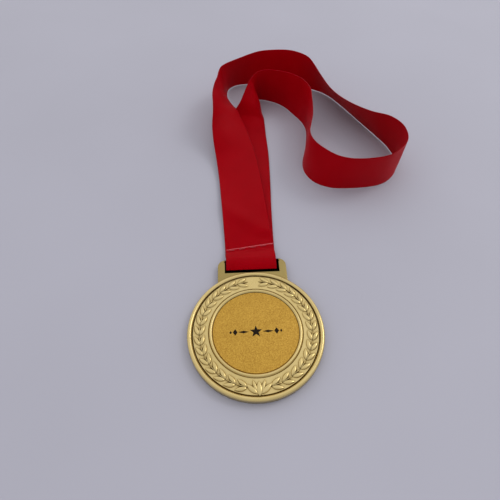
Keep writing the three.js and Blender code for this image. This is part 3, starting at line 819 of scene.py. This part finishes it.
# %% Creases and waves
TOP_STRAND = 7 * ROWS_PER_STATION  # the rows before the ribbon stands up
CREASE = ((-14.8 * MM, 78 * MM), (11.6 * MM, 58 * MM))  # the line that the packet fold left
CREASE_HIGH = 0.8 * MM
CREASE_WIDE = 5 * MM
LIFT_FROM = 54 * MM  # the lifts start at this y and are full after LIFT_OVER
LIFT_OVER = 7 * MM
MARGIN_HIGH = 0.5 * MM
MARGIN_WIDE = 0.18  # as a share of the width
MARGIN_Y = 95 * MM
MARGIN_LONG = 22 * MM
WAVE_HIGH = 0.16 * MM
WAVE_LONG = 37 * MM
STILL_START = 30 * MM  # the waves grow over this much of the hidden end and die over this much of the other
STILL_END = 90 * MM

x, y = grid[..., 0], grid[..., 1]
(x0, y0), (x1, y1) = CREASE
run = math.hypot(x1 - x0, y1 - y0)
away = ((x - x0) * (y1 - y0) - (y - y0) * (x1 - x0)) / run
on_top = (np.arange(len(grid)) < TOP_STRAND)[:, None] * soft_step((y - LIFT_FROM) / LIFT_OVER)
crease = CREASE_HIGH * np.exp(-(away / CREASE_WIDE) ** 2)
margin = MARGIN_HIGH * np.exp(-(share / MARGIN_WIDE) ** 2) * np.exp(-((y - MARGIN_Y) / MARGIN_LONG) ** 2)
free = soft_step(along / STILL_START) * soft_step((LENGTH - along) / STILL_END)
wave = WAVE_HIGH * np.sin(2 * math.pi * along / WAVE_LONG)[:, None] * np.sin(math.pi * share)
grid[..., 2] += on_top * (crease + margin)
normal = unit(np.cross(neighbours(grid, 1), neighbours(grid, 0)))
grid += normal * (wave * free[:, None])[:, :, None]

# %% [markdown]
# A flat band is made a closed strip: the surface is doubled half a thickness to each side and the edges
# are joined. The selvedges are a little fatter than the middle and thin out at the very edge.

# %% Make the strip
EDGE_FAT = (0.45, 1.0, 1.25, 1.0)  # the thickness at each edge column, as a share of the middle's
fat = np.interp(np.minimum(share, 1 - share), EDGE_COLUMNS, EDGE_FAT)
normal = unit(np.cross(neighbours(grid, 1), neighbours(grid, 0)))
push = normal * (fat * RIBBON_T / 2)[None, :, None]
layers = np.stack([grid + push, grid - push], axis=2)
count_along, count_across = layers.shape[:2]


def corner(i, j, side):
    return (i * count_across + j) * 2 + side


faces = []
for i in range(count_along - 1):
    for j in range(count_across - 1):
        faces.append([corner(i, j, 0), corner(i, j + 1, 0), corner(i + 1, j + 1, 0), corner(i + 1, j, 0)])
        faces.append([corner(i, j, 1), corner(i + 1, j, 1), corner(i + 1, j + 1, 1), corner(i, j + 1, 1)])
    far = count_across - 1
    faces.append([corner(i, 0, 0), corner(i + 1, 0, 0), corner(i + 1, 0, 1), corner(i, 0, 1)])
    faces.append([corner(i, far, 0), corner(i, far, 1), corner(i + 1, far, 1), corner(i + 1, far, 0)])
end = count_along - 1
for j in range(count_across - 1):
    faces.append([corner(0, j, 0), corner(0, j, 1), corner(0, j + 1, 1), corner(0, j + 1, 0)])
    faces.append([corner(end, j, 0), corner(end, j + 1, 0), corner(end, j + 1, 1), corner(end, j, 1)])

mesh = bpy.data.meshes.new("satin_ribbon")
mesh.from_pydata(layers.reshape(-1, 3).tolist(), [], faces)
ribbon = bpy.data.objects.new("satin_ribbon", mesh)
bpy.context.collection.objects.link(ribbon)
flat_u = np.repeat(np.broadcast_to(share * RIBBON_W, (count_along, count_across))[..., None], 2, axis=2)
flat_v = np.repeat(np.broadcast_to(along[:, None], (count_along, count_across))[..., None], 2, axis=2)
place = np.column_stack([flat_u.ravel(), flat_v.ravel()])
loops = np.empty(len(mesh.loops), dtype=np.int32)
mesh.loops.foreach_get("vertex_index", loops)
mesh.uv_layers.new(name="UVMap").data.foreach_set("uv", place[loops].ravel())
choose(ribbon)
bpy.ops.object.shade_smooth_by_angle(angle=math.radians(60))
mesh.materials.append(red_satin(RIBBON_W, LENGTH))
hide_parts("neck_ribbon")
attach(ribbon, "ribbon")
print("strip", len(mesh.polygons), "faces")

# %% [markdown]
# The seam is a running stitch through all three layers, just inside the fused end. One stitch is a
# capsule: a small ball with one half drawn away from the other. It is copied for every run on top and
# below and for each post through the layers.

# %% The stitches
THREAD_R = 0.17 * MM
STITCHES = 9
SEAM_LEFT = (-11.9 * MM, 46.7 * MM)
SEAM_RIGHT = (11.3 * MM, 50 * MM)
THREAD_LOW = 0.3 * MM
THREAD_HIGH = 2.68 * MM


def stitch(a, b):
    """A capsule between two points."""
    a, b = np.array(a), np.array(b)
    reach = float(np.linalg.norm(b - a))
    bpy.ops.object.select_all(action="DESELECT")
    bpy.ops.mesh.primitive_uv_sphere_add(segments=12, ring_count=8, radius=THREAD_R)
    made = start("stitch")
    pick(made, "verts", lambda v: v.co.z > LEAST_STEP)
    bpy.ops.transform.translate(value=(0, 0, reach))
    bpy.ops.object.mode_set(mode="OBJECT")
    made.rotation_mode = "QUATERNION"
    made.rotation_quaternion = Vector(b - a).to_track_quat("Z", "Y")
    made.location = a
    return made


def seam_point(i, height):
    part = i / (STITCHES - 1)
    x, y = (p + (q - p) * part for p, q in zip(SEAM_LEFT, SEAM_RIGHT))
    return (x, y, height)


stitches = [stitch(seam_point(i, THREAD_LOW), seam_point(i, THREAD_HIGH)) for i in range(STITCHES)]
for i in range(STITCHES - 1):
    height = THREAD_LOW if i % 2 else THREAD_HIGH
    stitches.append(stitch(seam_point(i, height), seam_point(i + 1, height)))
choose(*stitches)
bpy.ops.object.transform_apply(location=True, rotation=True, scale=True)
bpy.ops.object.join()
seam = bpy.context.object
seam.name = seam.data.name = "seam_thread"
bpy.ops.object.shade_smooth()
seam.data.materials.append(THREAD)
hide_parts("seam_stitching")
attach(seam, "ribbon")
print("seam", len(stitches), "stitches and posts")

# %% [markdown]
# The table is a plain pale sheet, a shade cooler than white. It is a stage and not part of the object.
# The light is mostly a bright sky, dimmer in front than behind, with one small window above, to the right
# and behind. The sky makes the soft shadows at the ribbon's foot, the window the glints on the metal.

# %% Table and light
TABLE_WIDE = 40  # metres, so that its edge is never near
TABLE_DROP = 0.02 * MM  # it lies this far below the medal's back
SKY_FRONT = 0.74
SKY_BACK = 1.12
SKY_SPREAD = 0.7  # how far forward and back the sky goes on changing


def table_top():
    made, tree = new_material("matt_grey_laminate_table")
    place = add(tree, "TexCoord", {}).outputs["Object"]
    clouds = add(tree, "TexNoise", {"Vector": place, "Scale": 1 / (120 * MM), "Detail": 2.0})
    tone = mixed(tree, clouds.outputs["Fac"], colour("AFAEB8"), colour("B7B6C1"))
    finish_material(tree, {"Base Color": tone, "Roughness": 0.6, "Specular IOR Level": 0.3})
    return made


bpy.ops.object.select_all(action="DESELECT")
bpy.ops.mesh.primitive_plane_add(size=TABLE_WIDE, location=(0, 0, -TABLE_DROP))
floor = bpy.context.object
floor.name = "table_top"
floor.data.materials.append(table_top())


def soft_light(name, at, aim, size, watts):
    """A square area light that looks at a point."""
    bpy.ops.object.light_add(type="AREA", location=at)
    made = bpy.context.object
    made.name = name
    made.data.size = size
    made.data.energy = watts
    made.rotation_mode = "QUATERNION"
    made.rotation_quaternion = (Vector(at) - Vector(aim)).to_track_quat("Z", "Y")


soft_light("window", at=(0.8, 0.42, 0.95), aim=(0.03, 0.08, 0), size=0.4, watts=2.3)
world = bpy.data.worlds.new("pale_room")
bpy.context.scene.world = world
world.use_nodes = True
world.node_tree.nodes.clear()
way = add(world.node_tree, "TexCoord", {}).outputs["Generated"]
toward = add(world.node_tree, "SeparateXYZ", {0: way}).outputs[1]
bright = add(world.node_tree, "MapRange", {
    0: toward, 1: -SKY_SPREAD, 2: SKY_SPREAD, 3: SKY_FRONT, 4: SKY_BACK})
sky = add(world.node_tree, "Background", {"Color": colour("F2F2F6"), "Strength": bright.outputs[0]})
add(world.node_tree, "OutputWorld", {"Surface": sky.outputs[0]})
print("lights and sky set")
